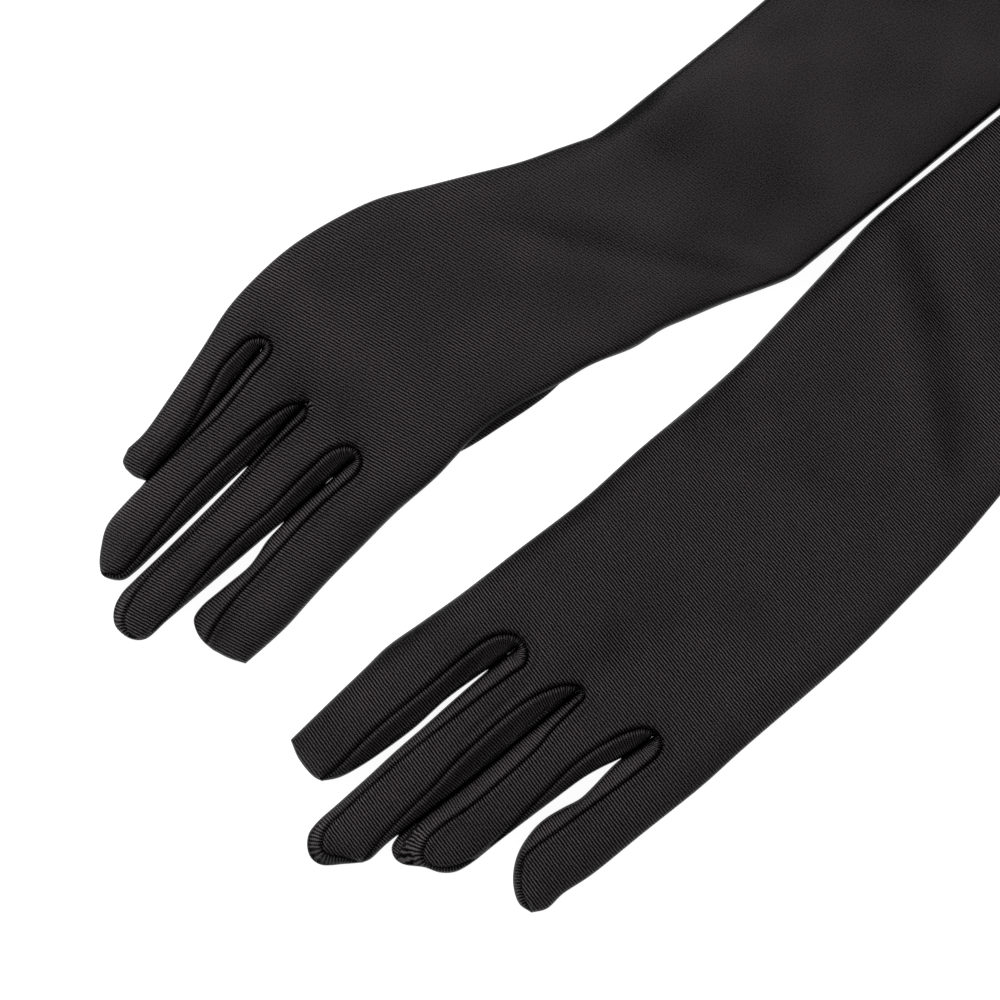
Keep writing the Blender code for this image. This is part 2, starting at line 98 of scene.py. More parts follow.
# Each outline is a list of smooth runs that meet in corners, from the arm opening
# along the thumb side to the fingertips, finger by finger, and back on the far side.
OUTLINES = {
    "right": {
        "near": [
            [(HEM_X, 0.7), (-48, 0.7)],
            [(-48, 0.7), (-53, 0.9), (-63, 4), (-73, 7.5), (-85, 11), (-93, 13.3), (-103, 14.5),
             (-113, 17.6), (-118, 18.9), (-128, 20.3), (-138, 22.3), (-148, 23.7), (-158, 23.8),
             (-165, 22.9), (-173, 21.8), (-190, 21.2), (-205, 19.6), (-216, 18.5), (-226, 17.1),
             (-236, 15.5), (-243, 15), (-253, 14.7)],
        ],
        "index": [
            [(-253, 14.7), (-255.8, 19), (-258, 24)],
            [(-258, 24), (-258.7, 28), (-258.3, 31.5), (-256.6, 34.8), (-253, 36.2), (-243, 36.5),
             (-234, 36.6), (-230, 37.5), (-225, 39.1), (-217, 40.25), (-211, 40.75), (-205, 41.1),
             (-199, 41.2), (-193, 41.5), (-189.4, 41.6)],
        ],
        "middle": [
            [(-189.4, 41.6), (-193, 41.57), (-199, 41.45), (-205, 41.17), (-211, 40.83), (-217, 40.45),
             (-225, 40.3), (-242, 39.9), (-263, 39.5), (-271.5, 39.3), (-274.5, 41.5), (-276, 45),
             (-276, 48.5), (-273.5, 52), (-269, 54.3), (-263, 55.1), (-251.7, 56), (-230, 58.1),
             (-220, 59.3), (-213, 60.3), (-206, 61.4), (-198, 62.6), (-189.4, 63.6)],
        ],
        "ring": [
            [(-189.4, 63.6), (-198, 62.67), (-206, 61.47), (-213, 60.4), (-220, 59.9), (-230, 59.2),
             (-251.7, 57.5), (-261, 56.8), (-265.5, 57.2), (-268.5, 60), (-269.5, 62.5), (-268, 65.5),
             (-264, 69.5), (-259, 73), (-249.5, 74.9), (-242, 75.75), (-225, 78), (-213, 80.05),
             (-203, 81.8), (-196, 83.4), (-189.4, 84.6)],
        ],
        "little": [
            [(-189.4, 84.6), (-196, 83.47), (-203, 81.87), (-213, 80.12), (-225, 78.07), (-241.5, 75.95)],
            [(-241.5, 75.95), (-243.4, 79), (-244, 82.5)],
            [(-244, 82.5), (-243.3, 84.8), (-239.5, 86.9)],
            [(-239.5, 86.9), (-233, 87.4), (-221, 90.7), (-204, 95.9), (-190, 100.5), (-178, 102.4),
             (-165, 103), (-151.5, 101.6), (-135, 97.8), (-121, 91.5), (-108, 85.5), (-94, 79), (-83, 75.1),
             (-73, 71.4)],
        ],
        "far": [
            [(-73, 71.4), (-66, 70.7), (-54, 70.5), (-7, 70.5), (30, 73.2), (SLEEVE_FOLD_X, 79.2),
             (130, 90.5), (200, 100.5), (HEM_X, 110.2)],
        ],
    },
    "left": {
        "near": [
            [(HEM_X, -0.7), (70, -0.7), (0, -0.7), (-23, -0.8), (-43, -3.7), (-63, -6.5), (-83, -9),
             (-103, -9.8), (-121, -10), (-144, -11.1), (-168, -10.4), (-190, -9.9), (-205, -8.9),
             (-217, -8.1), (-226, -8.9), (-241, -10.1), (-257, -11.5)],
        ],
        "index": [
            [(-257, -11.5), (-258.7, -17.5), (-258.6, -24.5), (-257.5, -27)],
            [(-257.5, -27), (-253, -29.4), (-246, -30.9), (-233, -32), (-225, -32.2), (-213, -31.6),
             (-200, -32.3), (-195, -32.62), (-187, -32.8)],
        ],
        "middle": [
            [(-187, -32.8), (-195, -32.69), (-200, -32.7), (-212, -33.1), (-223, -33.6), (-235, -34),
             (-246, -34.7), (-257, -35.2), (-267, -35.7), (-271, -37), (-274, -40.5), (-274.6, -43.5),
             (-273.4, -46.5), (-268, -50.5), (-263.5, -53.6)],
            [(-263.5, -53.6), (-261, -54.3), (-255, -53.9), (-247, -53.95), (-235, -54.5), (-223, -54.9),
             (-203, -54.8), (-192, -54.6), (-181, -54.5)],
        ],
        "ring": [
            [(-181, -54.5), (-192, -54.67), (-203, -54.87), (-223, -54.97), (-235, -54.57), (-247, -54.04),
             (-251, -54.3), (-254, -55.7), (-255.2, -58.5), (-254.5, -61.5), (-250, -66.5), (-247.5, -70.5),
             (-244, -73.2), (-239, -74.3), (-228, -74.5), (-208, -75.2), (-196, -75.8), (-190, -76.8),
             (-185, -78), (-179, -78.85), (-172, -79.3)],
        ],
        "little": [
            [(-172, -79.3), (-179, -78.93), (-185, -78.4), (-190, -78.8), (-196, -79.6), (-201, -79.9),
             (-207, -78.7), (-213, -77.9), (-218, -78.3), (-225, -80.5), (-230, -84), (-233.5, -88.5),
             (-235, -93), (-233.8, -97.2)],
            [(-233.8, -97.2), (-229.5, -99.2), (-223, -98.8), (-213, -99.8), (-193, -99.9), (-170, -100.1),
             (-154, -99.3), (-109, -97.9), (-88, -95.7), (-67, -93), (-48, -89.5), (-35, -86.8),
             (-20, -85.4)],
        ],
        "far": [
            [(-20, -85.4), (0, -84.4), (20, -84.5), (40, -86.2), (SLEEVE_FOLD_X, -88.7), (130, -96),
             (200, -102.8), (HEM_X, -110.2)],
        ],
    },
}

# The seam between the back of the glove and the fourchette of each gap, from the tip
# of the finger on the thumb side, round the crotch, to the tip of the next finger.
SEAMS = {
    "right": [
        [(-258.6, 26.6), (-251, 29.5), (-243, 31.5), (-233, 33), (-223, 34.5), (-213, 36), (-203, 37),
         (-196, 37.2), (-191, 37.5), (-188, 39), (-186.6, 41.5), (-187, 44.5), (-190, 47), (-194, 48),
         (-200, 47.7), (-208, 47), (-218, 45.7), (-228, 45.5), (-238, 44.5), (-248, 43), (-258, 41.2),
         (-266, 40.3), (-272.2, 39.2)],
        [(-272.2, 39.8), (-274, 43), (-273, 47), (-268, 50.3), (-258, 53), (-243, 54.5), (-228, 56),
         (-218, 57.5), (-208, 59), (-198, 59.7), (-192, 60.4), (-190.4, 62.5), (-192, 65.3), (-197, 67),
         (-208, 67.3), (-218, 66.5), (-228, 65.5), (-236, 64.5), (-243, 63), (-253, 61), (-260, 59.5),
         (-265, 59.3), (-268, 61.8), (-269.7, 63)],
        [(-243, 75.2), (-233, 76.1), (-217, 76.3), (-213, 76.5), (-203, 78.5), (-196, 80), (-190, 81),
         (-187, 82.5), (-186.4, 85), (-188, 87.5), (-191, 89), (-196, 88.7), (-203, 87.5), (-208, 85.5),
         (-215, 82.5), (-223, 79.7), (-233, 78), (-241.6, 76.2)],
    ],
    "left": [
        [(-258, -26), (-252, -26.5), (-241, -25.3), (-233, -24.8), (-213, -24.8), (-203, -24.6),
         (-193, -25), (-188, -26.6), (-184.8, -30), (-184.7, -35), (-188, -38.2), (-193, -38),
         (-203, -37.5), (-213, -37.3), (-228, -37), (-243, -37.3), (-257, -38.2), (-266, -39.3),
         (-270, -43.5), (-266, -49.5), (-263.3, -53.8)],
        [(-263, -53), (-253, -51), (-243, -49.8), (-233, -49), (-223, -47.5), (-213, -46.8), (-203, -46.4),
         (-193, -47), (-187, -48.5), (-182, -51), (-179.6, -54.5), (-180.5, -57), (-185, -57.7),
         (-193, -58.5), (-201, -60), (-208, -60.5), (-228, -60.8), (-238, -60), (-244, -60.6),
         (-248, -63.5), (-247.5, -67.5), (-243, -71.5), (-238, -73.2), (-235, -74.6)],
        [(-236, -74.2), (-221, -73), (-208, -71.5), (-198, -70.5), (-191, -70.5), (-183, -71.5),
         (-177, -73), (-172.5, -75.5), (-170.8, -79), (-171.2, -82), (-174, -84), (-183, -84.3),
         (-193, -84), (-203, -83.5), (-213, -83), (-220, -82.5), (-225, -83), (-230, -87.5), (-232.5, -92),
         (-233.2, -95), (-234, -97)],
    ],
}
HINGE_X = {
    side: {
        name: 1000 * next(j for j in frame["joints"] if j["name"] == f"{side}_{name}_fold")["pos_m"][0]
        for name in FINGERS
    }
    for side in ("right", "left")
}


# ---- plan curves

def smooth_run(points, samples=16):
    """Close points on the smooth curve through points (a centripetal Catmull-Rom curve)."""
    knots = np.array(points, float)
    if len(knots) < 3:
        share = np.linspace(0, 1, 60)[:, None]
        return knots[0] * (1 - share) + knots[-1] * share
    chords = np.linalg.norm(np.diff(knots, axis=0), axis=1)
    times = np.concatenate([[0], np.cumsum(np.sqrt(chords))])
    slopes = np.gradient(knots, times, axis=0)
    s = np.linspace(0, 1, samples, endpoint=False)[:, None]
    parts = []
    for i, span in enumerate(np.diff(times)):
        parts.append((2 * s**3 - 3 * s**2 + 1) * knots[i] + (s**3 - 2 * s**2 + s) * span * slopes[i]
                     + (3 * s**2 - 2 * s**3) * knots[i + 1] + (s**3 - s**2) * span * slopes[i + 1])
    return np.vstack([*parts, knots[-1:]])


def lengths_along(line):
    """How far along the line each of its points is."""
    return np.concatenate([[0], np.cumsum(np.linalg.norm(np.diff(line, axis=0), axis=1))])


def points_at(wanted, places, line):
    """Points of the line where places, its measure along itself, has the wanted values."""
    return np.column_stack([np.interp(wanted, places, column) for column in line.T])


def closed(loop):
    """The loop with its first point once more at its end."""
    return np.vstack([loop, loop[:1]])


def unit(rows):
    """The rows, each scaled to a length of 1."""
    return rows / (np.linalg.norm(rows, axis=1)[:, None] + 1e-12)


def spacing_at(x):
    """How far apart the mesh points are at x: fine on the fingers and at the sleeve's fold."""
    return np.interp(x, [-200, -165, -90, 30, 50, 72, 90, 276], [0.85, 1.05, 1.7, 2.4, 1.6, 1.6, 2.8, 4.6])


def resampled(line, finer=1.0):
    """The line's points at the mesh spacing times finer, its two ends kept."""
    steps = np.linalg.norm(np.diff(line, axis=0), axis=1)
    middles = (line[1:, 0] + line[:-1, 0]) / 2
    count = np.concatenate([[0], np.cumsum(steps / spacing_at(middles) / finer)])
    wanted = np.linspace(0, count[-1], max(2, round(count[-1]) + 1))
    return points_at(wanted, count, line)


def nearest(points, line):
    """For each point: its distance to the line, and how far along the line that is."""
    tree = KDTree(len(line))
    for i, (x, y) in enumerate(line.tolist()):
        tree.insert((x, y, 0), i)
    tree.balance()
    closest = np.array([tree.find((x, y, 0))[1] for x, y in points.tolist()], int)
    along = lengths_along(line)
    lengths = np.diff(along)
    distance, arc = np.full(len(points), np.inf), np.zeros(len(points))
    for offset in (-1, 0):
        i = np.clip(closest + offset, 0, len(line) - 2)
        step = line[i + 1] - line[i]
        share = np.clip(((points - line[i]) * step).sum(1) / (lengths[i] ** 2 + 1e-12), 0, 1)
        gap = np.linalg.norm(points - line[i] - share[:, None] * step, axis=1)
        better = gap < distance
        distance[better] = gap[better]
        arc[better] = (along[i] + share * lengths[i])[better]
    return distance, arc


def inside(points, loop):
    """Whether each point lies inside the closed loop."""
    a, b = loop, np.roll(loop, -1, axis=0)
    result = np.zeros(len(points), bool)
    boxed = np.where(((points >= loop.min(0)) & (points <= loop.max(0))).all(1))[0]
    for rows in np.array_split(boxed, len(boxed) // 2000 + 1):
        x, y = points[rows, :1], points[rows, 1:]
        crosses = (a[:, 1] > y) != (b[:, 1] > y)
        with np.errstate(divide="ignore", invalid="ignore"):
            at = a[:, 0] + (y - a[:, 1]) * (b[:, 0] - a[:, 0]) / (b[:, 1] - a[:, 1])
        result[rows] = (crosses & (x < at)).sum(1) % 2 == 1
    return result


def bell(distance, width):
    return np.exp(-(distance / width) ** 2)


def ease(value, low, high):
    """0 below low, 1 above high, and smooth between them."""
    t = np.clip((value - low) / (high - low), 0, 1)
    return t * t * (3 - 2 * t)


def roll(distance, radius):
    """The rise of a rounded edge: a quarter circle from 0 at the edge to 1 at radius."""
    t = np.clip(distance / radius, 0, 1)
    return np.sqrt(1 - (1 - t) ** 2)


# ---- glove plans

class Plan:
    """The plan of one glove: its outline, seams and the folds and dents of its cloth."""

    def __init__(self, side):
        self.side = side
        self.sign = 1.0 if side == "right" else -1.0
        runs = [run for part in ("near", *FINGERS, "far") for run in OUTLINES[side][part]]
        fine = [smooth_run(run) for run in runs]
        self.outline = np.vstack([f[:-1] for f in fine] + [fine[-1][-1:]])
        self.mesh_line = np.vstack([resampled(f)[:-1] for f in fine] + [fine[-1][-1:]])
        mouth = np.linspace(self.mesh_line[-1], self.mesh_line[0], 26)[1:-1]
        self.mesh_line = np.vstack([self.mesh_line, mouth])
        self.seams = [resampled(smooth_run(seam), 0.62) for seam in SEAMS[side]]
        self.pockets = [self.pocket(seam) for seam in self.seams]
        self.apexes = [seam[seam[:, 0].argmax()] for seam in self.seams]
        little = smooth_run(OUTLINES[side]["little"][-1])
        self.far_line = np.vstack([little[:-1], smooth_run(OUTLINES[side]["far"][0])])
        self.near_line = np.vstack([smooth_run(run) for run in OUTLINES[side]["near"]])
        self.contacts, self.facing = [], []
        for before, name in zip(FINGERS, FINGERS[1:]):
            near_side = smooth_run(OUTLINES[side][name][0])
            near_side = near_side[:near_side[:, 0].argmin() + 1]
            self.contacts.append(near_side[near_side[:, 0].argsort()])
            far_side = smooth_run(OUTLINES[side][before][-1])
            self.facing.append(far_side[far_side[:, 0].argmin():])

    @staticmethod
    def pocket(seam):
        """The closed loop of a seam, drawn round outside the fingertips."""
        beyond = -300.0
        return np.vstack([seam, [(beyond, seam[-1, 1]), (beyond, seam[0, 1])]])

    def finger_of(self, points):
        """Which finger each point is on, 0 to 3, by the gaps on its two sides."""
        number = np.zeros(len(points), int)
        for line in self.contacts:
            limit = np.interp(points[:, 0], line[:, 0], line[:, 1])
            number += (points[:, 1] - limit) * self.sign > 0
        return number

    def pressed(self, points):
        """How far the rims of neighbouring fingers lean over, to touch where their gap is shut."""
        shift = np.zeros(len(points))
        for upper, lower in zip(self.contacts, self.facing):
            gap = (np.interp(points[:, 0], upper[:, 0], upper[:, 1])
                   - np.interp(points[:, 0], lower[:, 0], lower[:, 1]))
            lean = (gap / 2 + 0.05 * self.sign) * (1 - ease(np.abs(gap), 0.12, 0.4))
            shift += np.where(nearest(points, lower)[0] < 0.01, lean, 0)
            shift -= np.where(nearest(points, upper)[0] < 0.01, lean, 0)
        return shift

    def thumb_cover(self, points):
        """1 where the palm lies on the thumb or lets it swing out, falling to 0 around that."""
        root, length, lean = THUMBS[self.side]
        distance = np.full(len(points), np.inf)
        for swing in THUMB_SWINGS:
            turn = math.radians(lean - swing)
            tip = (root[0] - length * math.cos(turn), root[1] + self.sign * length * math.sin(turn))
            distance = np.minimum(distance, nearest(points, np.array([root, tip]))[0])
        return 1 - ease(distance, THUMB_WIDTH / 2 + 0.5, THUMB_WIDTH / 2 + 9)

    @staticmethod
    def rim(cover):
        """The height of the glove's edge, which is higher where a thumb lies below it."""
        return 2.5 + 2.3 * cover

    def heights(self, points):
        """The height of the back and of the palm over each point, in millimetres."""
        x, y = points[:, 0], points[:, 1]
        edge = nearest(points, self.outline)[0]
        cover = self.thumb_cover(points)
        crown = np.interp(x, [-276, -258, -200, -172, -120, -60, 60, 276],
                          [7.6, 9.2, 9.6, 9.5, 9.4, 8.8, 8.2, 8.0])
        rim = self.rim(cover)
        round_part = np.interp(x, [-200, -170], [0.74, 0.44])
        rise = (1 - round_part) * roll(edge, 2.2) + round_part * roll(edge, 10.5)
        back = rim + (crown - rim) * rise
        back += self.softness(x, y) * ease(edge, 1, 14)
        back += self.seam_relief(points, edge)
        back += self.streaks(points, FOLDS[self.side]) * ease(edge, 0.3, 3)
        back -= 0.28 * bell(nearest(points, self.far_line)[0] - 1.7, 0.45)
        floor = 0.05 + 3.15 * cover
        palm = rim - (rim - floor) * (0.8 * roll(edge, 2.2) + 0.2 * roll(edge, 8))
        palm = np.where(edge < 0.02, back, np.minimum(palm, back - 0.8))
        return back, palm

    def softness(self, x, y):
        """The faint waves of cloth that lies loose, stronger towards the arm."""
        turn = 0.8 if self.side == "right" else 2.1
        waves = (np.sin(x / 31 + y / 23 + turn) + 0.7 * np.sin(x / 17 - y / 29 + 2 * turn)
                 + 0.4 * np.sin(x / 11 + y / 13))
        return waves * np.interp(x, [-190, -90, 0, 90, 276], [0.10, 0.20, 0.26, 0.5, 0.55])

    def seam_places(self, points):
        """For each gap seam: distance to it, gathers along it, whether within it, distance to its loop."""
        for seam, pocket, apex in zip(self.seams, self.pockets, self.apexes):
            distance, arc = nearest(points, seam)
            gathers = np.sin(math.tau * arc / GATHER_PITCH + 0.9 * np.sin(arc / 5))
            away = np.linalg.norm(points - apex, axis=1)
            yield distance, gathers, inside(points, pocket), away

    def seam_relief(self, points, edge):
        """The groove, lips, gathers and sunken fourchettes of the three gap seams."""
        relief = np.zeros(len(points))
        near = np.where(points[:, 0] < GAPS_END_X)[0]
        for distance, gathers, within, away in self.seam_places(points[near]):
            loop = bell(away, 9)
            fade = 0.55 + 0.45 * np.exp(-away / 45)
            groove = -1.7 * bell(distance, 0.5) * fade
            lip = np.where(within, 0.55 + 0.45 * loop, 0.5) * bell(distance - 1.35, 0.85) * fade
            gather = gathers * (0.10 + 0.55 * loop) * bell(distance - 1.4, 1.5) * np.where(within, 1, 0.35)
            sunk = np.where(within, (-1.5 + 0.7 * bell(away, 13)) * ease(distance, 1.9, 4.2) - 0.1, 0)
            relief[near] += groove + lip + gather + sunk * ease(edge[near], 0.2, 2)
        return relief * ease(edge, 0.1, 1.2)

    def painted_shade_and_light(self, points):
        """Painted shade and painted light in the cloth's colour: how much darker it is coloured at its
        edges, seams, gathers and streaks; 1 is black, and below 0 it is coloured lighter than elsewhere.
        """
        # Painted shade: a dark band along the whole outline, where the cloth rolls under, and darker bands
        # along the near edge and along the right glove's far edge; a little way in from the left glove's
        # far edge the cloth is painted lighter.
        depth = 0.85 * bell(nearest(points, self.outline)[0], 0.8)
        near_band = nearest(points, self.near_line)[0]
        far_band = nearest(points, self.far_line)[0]
        if self.side == "right":
            depth += 0.10 * bell(near_band, 2.6) + 0.20 * bell(far_band, 3.5)
        else:
            depth += 0.45 * bell(near_band, 3.8) - 0.08 * bell(far_band - 5, 8)
        near = points[:, 0] < GAPS_END_X
        for distance, gathers, within, away in self.seam_places(points[near]):
            # Painted shade at each gap seam: a dark line in its groove, dark strokes in the valleys of its
            # gathers and darker cloth beside it; inside the pocket the shade is lessened near the loop and
            # a little deepened further out.
            line = (0.5 + 0.2 * np.exp(-away / 40)) * bell(distance, 0.55)
            gather_shade = (0.12 + 0.4 * bell(away, 10)) * bell(distance - 1.3, 0.9) * ease(-gathers, 0, 0.8)
            gather_shade *= np.where(within, 0.85, 0.12)
            pocket_shade_and_light = np.where(within, (0.26 - 0.26 * bell(away, 13)) * ease(distance, 2.0, 3.6) - 0.17, 0)
            pocket_shade_and_light -= np.where(within, 0.16, 0) * bell(away, 9)
            beside = np.where(within, 0, 0.12) * bell(distance, 3.2)
            depth[near] = np.maximum(depth[near], np.maximum(line, gather_shade + pocket_shade_and_light + beside))
        # Streaks of painted shade and painted light are added on top.
        return depth + self.streaks(points, PAINTED_SHADE_AND_LIGHT[self.side])

    @staticmethod
    def streaks(points, listed):
        """The sum of soft straight streaks, each with its start, end, half width and height."""
        relief = np.zeros(len(points))
        for start, end, width, height in listed:
            a, b = np.array(start, float), np.array(end, float)
            axis = b - a
            share = ((points - a) @ axis) / (axis @ axis)
            across = ((points - a) @ np.array([-axis[1], axis[0]])) / math.hypot(*axis)
            ends = ease(share, -0.15, 0.25) * (1 - ease(share, 0.75, 1.15))
            relief += height * bell(across, width) * ends
        return relief


# How far apart the gathers of the gap seams are
GATHER_PITCH = 2.0

# The thumb's width, and the swings (in degrees) through which the palm leaves room for it
THUMB_WIDTH = 20.0
THUMB_SWINGS = (0, 12, 24, 35)

# Root of each thumb's middle line, its length, and how far it leans in under the palm (degrees)
THUMBS = {}
for side in ("right", "left"):
    joint = next(j for j in frame["joints"] if j["name"] == f"{side}_thumb_swing")
    THUMBS[side] = ((1000 * joint["pos_m"][0], 1000 * joint["pos_m"][1]), 52.0, 6.0)

# Soft folds and dents: start, end, half width and height of each, in millimetres
FOLDS = {
    "right": [
        ((-113, 71), (-60, 6), 4.5, -1.0),
        ((-122, 66), (-76, 12), 6, 0.7),
        ((-96, 62), (-60, 22), 4, 0.6),
        ((-70, 36), (-50, 1), 4, -0.8),
        ((-64, 24), (-55, 1), 2, 0.9),
        ((-66, 70), (-38, 16), 9, 1.0),
        ((-75, 68.6), (-42, 67.6), 1.3, -0.8),
        ((-250, 30), (-225, 27), 5, -0.7),
        ((-222, 66.2), (-194, 67), 1.2, -0.8),
        ((20, 60), (70, 15), 9, 0.9),
        ((0, 68), (36, 30), 5, -0.8),
        ((60, 62), (118, 8), 7, 1.0),
        ((90, 80), (150, 20), 9, -1.1),
        ((120, 20), (190, 80), 12, 1.2),
        ((168, 96), (232, 30), 8, -1.0),
        ((205, 90), (262, 44), 9, 1.0),
    ],
    "left": [
        ((-23, -4), (-58, -76), 6, 1.4),
        ((-10, -6), (-44, -82), 6, -1.4),
        ((-106, -11), (-83, -56), 2.6, 0.7),
        ((-84, -8), (-92, -30), 5, -0.9),
        ((-218, -44.5), (-191, -43.5), 1.6, -0.9),
        ((-231, -60.5), (-229, -63), 1.4, -0.9),
        ((-206, -28.5), (-197, -29), 1.8, -0.8),
        ((-166, -50), (-140, -62), 6, -0.7),
        ((-150, -84), (-120, -96), 7, 0.9),
        ((60, -30), (110, -75), 10, 0.9),
        ((30, -20), (50, -70), 7, -0.8),
        ((84, -78), (142, -14), 8, -1.1),
        ((150, -70), (210, -30), 13, 1.2),
        ((150, -14), (224, -84), 8, -1.0),
        ((200, -20), (262, -62), 9, 1.0),
    ],
}

# Streaks of painted shade (above 0) and painted light (below 0) in the cloth's colour:
# start, end, half width and amount of each
PAINTED_SHADE_AND_LIGHT = {
    "right": [
        ((-111, 69), (-60, 7), 3, 0.08),
        ((-92, 46), (-77, 17), 3.5, 0.02),
        ((-230, 79), (-188, 84), 4, -0.2),
        ((-243, 76), (-224, 79), 3, -0.25),
        ((-64, 68), (-34, 12), 13, 0.09),
        ((-72, 68.2), (-48, 67.4), 1.4, 0.16),
        ((-64, 69), (-53, 45), 4, 0.04),
        ((-40, 30), (-20, 5), 8, 0.03),
        ((0, 40), (15, 18), 9, 0.06),
        ((-26, 64), (-12, 50), 5, -0.06),
        ((-171, 106), (-168, 50), 6, -0.06),
        ((-188, 80), (-184, 34), 6, 0.10),
        ((-235, 86), (-190, 98), 6, -0.07),
        ((-250, 24), (-246, 34), 5, 0.10),
        ((-250, 47), (-205, 53), 4, -0.05),
    ],
    "left": [
        ((-17, -4), (-31, -42), 5.5, 0.2),
        ((-28, -34), (-57, -80), 4.5, 0.15),
        ((-34, -12), (-50, -50), 7, -0.05),
        ((-84, -14), (-110, -13), 6, 0.16),
        ((-84, -17), (-77, -42), 4, 0.09),
        ((-97, -20), (-76, -67), 5, 0.06),
        ((-108, -22), (-88, -70), 4, -0.05),
        ((-158, -27), (-131, -60), 7, 0.05),
        ((-170, -53), (-148, -61), 4, 0.10),
        ((-148, -94), (-120, -90), 9, 0.10),
        ((-180, -44), (-158, -53), 6, 0.14),
        ((-186, -26), (-176, -18), 7, 0.06),
        ((-242, -12), (-252, -24), 5, 0.07),
        ((-232, -90), (-190, -92), 9, 0.08),
    ],
}


# ---- meshes

class Mould:
    """Triangles over a plan, with the back and palm surfaces as one point list."""

    def __init__(self, loop, seams, cuts, rings):
        """loop is the outline; rings are the depths of the point rows inside it."""
        fixed, edges = [], []

        def add(path, is_loop=False):
            first = len(fixed)
            fixed.extend(map(tuple, path))
            edges.extend((i, i + 1) for i in range(first, first + len(path) - 1))
            if is_loop:
                edges.append((first + len(path) - 1, first))

        add(loop, is_loop=True)
        for path in seams + cuts:
            add(path)
        scattered = [self.beside(loop, depth, is_loop=True) for depth in rings]
        for seam in seams:
            scattered += [self.beside(seam, d) for d in (-2.0, -1.25, -0.6, 0.6, 1.25, 2.0)]
        scattered.append(self.grid(loop, seams, rings[-1]))
        free = np.vstack(scattered)
        free = free[inside(free, loop)]
        depth = nearest(free, closed(loop))[0]
        free = free[depth > min(0.3, rings[0]) * 0.9]
        free = self.thinned(free, np.array(fixed))
        coordinates = [Vector(p) for p in [*fixed, *map(tuple, free)]]
        points, _, faces, *_ = delaunay_2d_cdt(coordinates, edges, [], 0, 1e-5)
        self.points = np.array([tuple(p) for p in points])
        faces = np.array(faces)
        centres = self.points[faces].mean(1)
        corners = self.points[faces]
        ab, ac = corners[:, 1] - corners[:, 0], corners[:, 2] - corners[:, 0]
        area = (ab[:, 0] * ac[:, 1] - ab[:, 1] * ac[:, 0]) / 2
        kept = inside(centres, loop) & (np.abs(area) > 1e-4)
        faces, area = faces[kept], area[kept]
        faces[area < 0] = faces[area < 0][:, ::-1]
        self.faces = faces
        self.centres = self.points[faces].mean(1)

    @staticmethod
    def beside(path, offset, is_loop=False):
        """The path's points moved sideways by offset, and to both sides if it is a loop."""
        if is_loop:
            step = np.roll(path, -1, axis=0) - np.roll(path, 1, axis=0)
        else:
            step = np.gradient(path, axis=0)
        normal = unit(np.column_stack([-step[:, 1], step[:, 0]]))
        if is_loop:
            return np.vstack([path + normal * offset, path - normal * offset])
        return path + normal * offset

    @staticmethod
    def grid(loop, seams, margin):
        """Rows of points at the mesh spacing, clear of the outline and the seams."""
        found, x, odd = [], loop[:, 0].min(), False
        while x < loop[:, 0].max():
            step = float(spacing_at(x))
            ys = np.arange(loop[:, 1].min() + odd * step / 2, loop[:, 1].max(), step)
            found.append(np.column_stack([np.full(len(ys), x), ys]))
            x, odd = x + 0.87 * step, not odd
        points = np.vstack(found)
        points = points[inside(points, loop)]
        points = points[nearest(points, closed(loop))[0] > margin + 0.55 * spacing_at(points[:, 0])]
        for seam in seams:
            points = points[nearest(points, seam)[0] > 2.0 + 0.45 * spacing_at(points[:, 0])]
        return points

    @staticmethod
    def thinned(free, fixed):
        """free without the points that crowd each other or a fixed point."""
        cell, reach = 0.5, 0.33
        taken, kept = {}, []

        def cell_of(p):
            return math.floor(p[0] / cell), math.floor(p[1] / cell)

        def crowded(p):
            i, j = cell_of(p)
            around = [(a, b) for a in (i - 1, i, i + 1) for b in (j - 1, j, j + 1)]
            return any(math.dist(p, q) < reach for near in around for q in taken.get(near, ()))

        for p in map(tuple, fixed):
            taken.setdefault(cell_of(p), []).append(p)
        for p in map(tuple, free):
            if not crowded(p):
                taken.setdefault(cell_of(p), []).append(p)
                kept.append(p)
        return np.array(kept)

    def raise_to(self, back, palm, open_beyond=math.inf):
        """Joins back and palm into one point list; they share the outline's points.

        Points at x beyond open_beyond are on the arm opening and are shared only at
        its two ends.
        """
        pairs = np.vstack([self.faces[:, ends] for ends in ([0, 1], [1, 2], [2, 0])])
        unique, counts = np.unique(np.sort(pairs, axis=1), axis=0, return_counts=True)
        rim_edges = unique[counts == 1]
        on_mouth = self.points[:, 0] > open_beyond
        shared = np.zeros(len(self.points), bool)
        for a, b in rim_edges:
            if not (on_mouth[a] and on_mouth[b]):
                shared[[a, b]] = True
        total = len(self.points)
        lower = np.arange(total)
        lower[~shared] = total + np.arange((~shared).sum())
        heights = np.concatenate([np.where(shared, (back + palm) / 2, back), palm[~shared]])
        self.flat = np.vstack([self.points, self.points[~shared]])
        self.xyz = np.column_stack([self.flat, heights])
        self.low_faces = lower[self.faces][:, ::-1]
        everything = np.vstack([self.faces, self.low_faces])
        normals = np.zeros_like(self.xyz)
        corners = self.xyz[everything]
        face_normal = np.cross(corners[:, 1] - corners[:, 0], corners[:, 2] - corners[:, 0])
        for k in range(3):
            np.add.at(normals, everything[:, k], face_normal)
        self.normals = unit(normals)


def mesh_object(name, points, faces, maps, values, material):
    """A smooth mesh object; its maps and values are given by name, point by point."""
    data = bpy.data.meshes.new(name)
    data.from_pydata(points.tolist(), [], faces)
    data.polygons.foreach_set("use_smooth", np.ones(len(faces), bool))
    corners = [corner for face in faces for corner in face]
    for label, places in maps.items():
        layer = data.uv_layers.new(name=label)
        layer.data.foreach_set("uv", places[corners].astype(np.float32).ravel())
    for label, amounts in values.items():
        layer = data.attributes.new(label, "FLOAT", "POINT")
        layer.data.foreach_set("value", amounts.astype(np.float32))
    data.materials.append(material)
    data.update()
    made = bpy.data.objects.new(name, data)
    bpy.context.scene.collection.objects.link(made)
    return made


